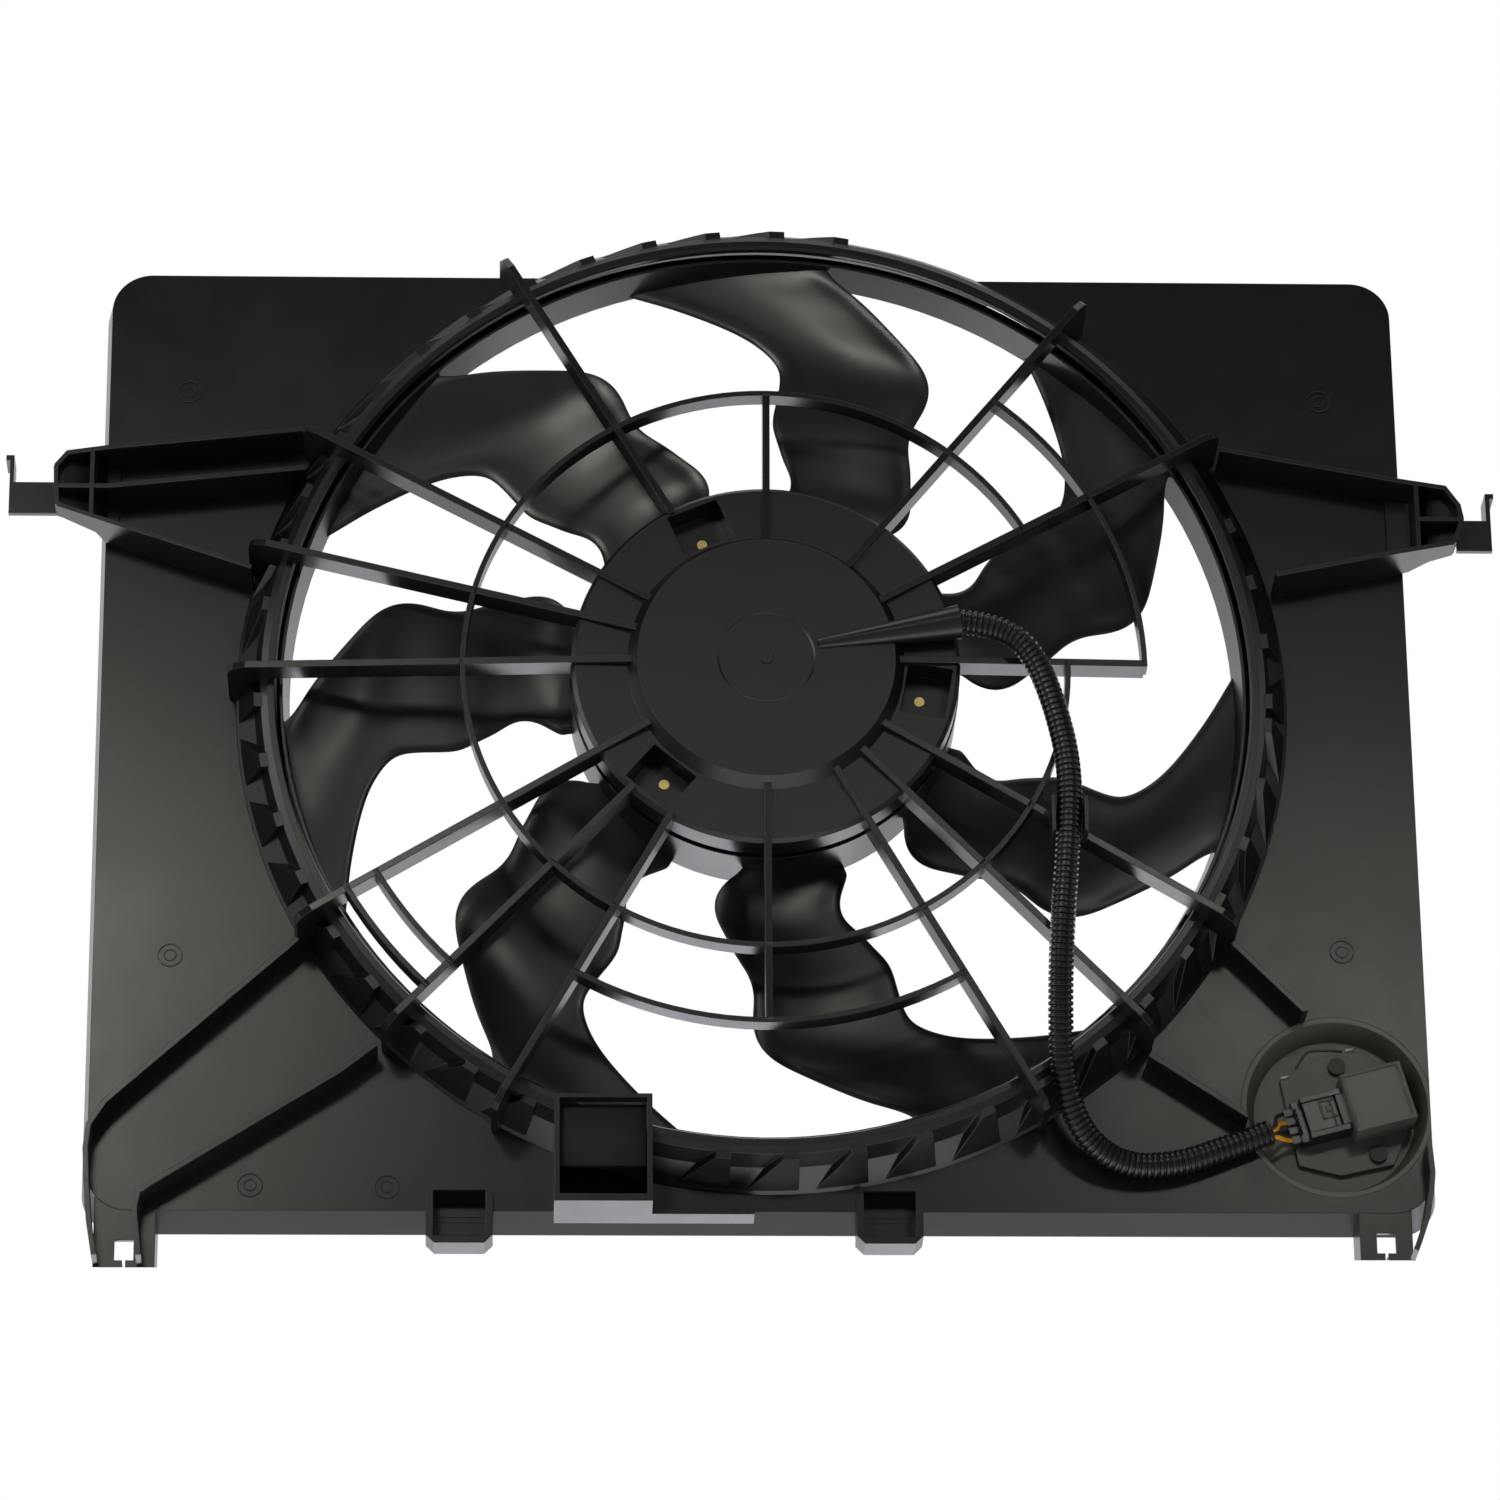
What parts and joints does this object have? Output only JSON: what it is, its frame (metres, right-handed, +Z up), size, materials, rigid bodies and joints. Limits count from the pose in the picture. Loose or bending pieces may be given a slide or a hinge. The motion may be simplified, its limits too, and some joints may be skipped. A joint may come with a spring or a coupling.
{
  "type": "radiator cooling fan",
  "caption": "Electric radiator fan: shroud panel with round barrel, radial strut guard, banded fan on a central motor, control module with plug and corrugated wire conduit.",
  "frame": {"origin": "on the fan axis, in the plane of the shroud's rear rim that meets the radiator", "axes": "+Y along the fan axis towards the radiator, +Z up, +X to the right as seen from the engine"},
  "size_m": [0.7292, 0.0854, 0.5472],
  "materials": {
    "shroud_plastic": "satin black glass-filled moulding",
    "fan_plastic": "satin black moulding, slightly glossier than the shroud",
    "conduit_plastic": "corrugated black conduit",
    "module_plastic": "dark olive-grey moulding",
    "connector_plastic": "black connector moulding",
    "lock_plastic": "grey lock bar",
    "lead_plastic": "coloured wire insulation",
    "seal_rubber": "grey silicone",
    "zinc_screw": "yellow zinc plating",
    "steel": "pressed and turned steel",
    "magnet": "ferrite",
    "core_steel": "laminated steel",
    "copper": "enamelled copper",
    "carbon": "carbon brush",
    "bronze": "sintered bronze"
  },
  "bodies": {
    "root": {"shroud_panel": "shroud_plastic", "module_pocket": "shroud_plastic", "fan_barrel": "shroud_plastic", "motor_carrier": "shroud_plastic", "guard_hoop_inner": "shroud_plastic", "guard_hoops_outer": "shroud_plastic", "guard_struts": "shroud_plastic", "hanger_arm_left": "shroud_plastic", "hanger_arm_right": "shroud_plastic", "foot_left": "shroud_plastic", "foot_right": "shroud_plastic", "clip_box_left": "shroud_plastic", "clip_box_right": "shroud_plastic", "bracket_box": "shroud_plastic", "panel_ribs": "shroud_plastic", "motor_can": "steel", "motor_end_cap": "steel", "bush_front": "bronze", "bush_rear": "bronze", "motor_flange": "steel", "motor_screws": "zinc_screw", "motor_magnets": "magnet", "brush_holder": "connector_plastic", "motor_brushes": "carbon", "brush_springs": "steel", "module_base": "module_plastic", "module_screws": "zinc_screw", "module_housing": "module_plastic", "plug_housing": "connector_plastic", "plug_lock": "lock_plastic", "wire_seals": "seal_rubber", "conduit": "conduit_plastic", "plug_leads": "lead_plastic", "motor_leads": "lead_plastic", "cable_clip": "connector_plastic"},
    "fan": {"motor_shaft": "steel", "armature_core": "core_steel", "armature_windings": "copper", "commutator": "copper", "fan_hub": "fan_plastic", "fan_band": "fan_plastic", "fan_washer": "steel", "fan_nut": "steel", "fan_blade_1": "fan_plastic", "fan_blade_2": "fan_plastic", "fan_blade_3": "fan_plastic", "fan_blade_4": "fan_plastic", "fan_blade_5": "fan_plastic", "fan_blade_6": "fan_plastic", "fan_blade_7": "fan_plastic"},
    "latch": {"plug_latch": "connector_plastic"}
  },
  "joints": [
    {"name": "fan_spin", "type": "hinge", "parent": "root", "child": "fan", "pos_m": [0, 0, 0], "axis": [0, -1, 0], "continuous": true},
    {"name": "latch_press", "type": "hinge", "parent": "root", "child": "latch", "pos_m": [0.26854, -0.0234, -0.21242], "axis": [0.2588, 0, -0.9659], "range_deg": [0, 6], "stiffness_Nm_per_rad": 0.05}
  ]
}
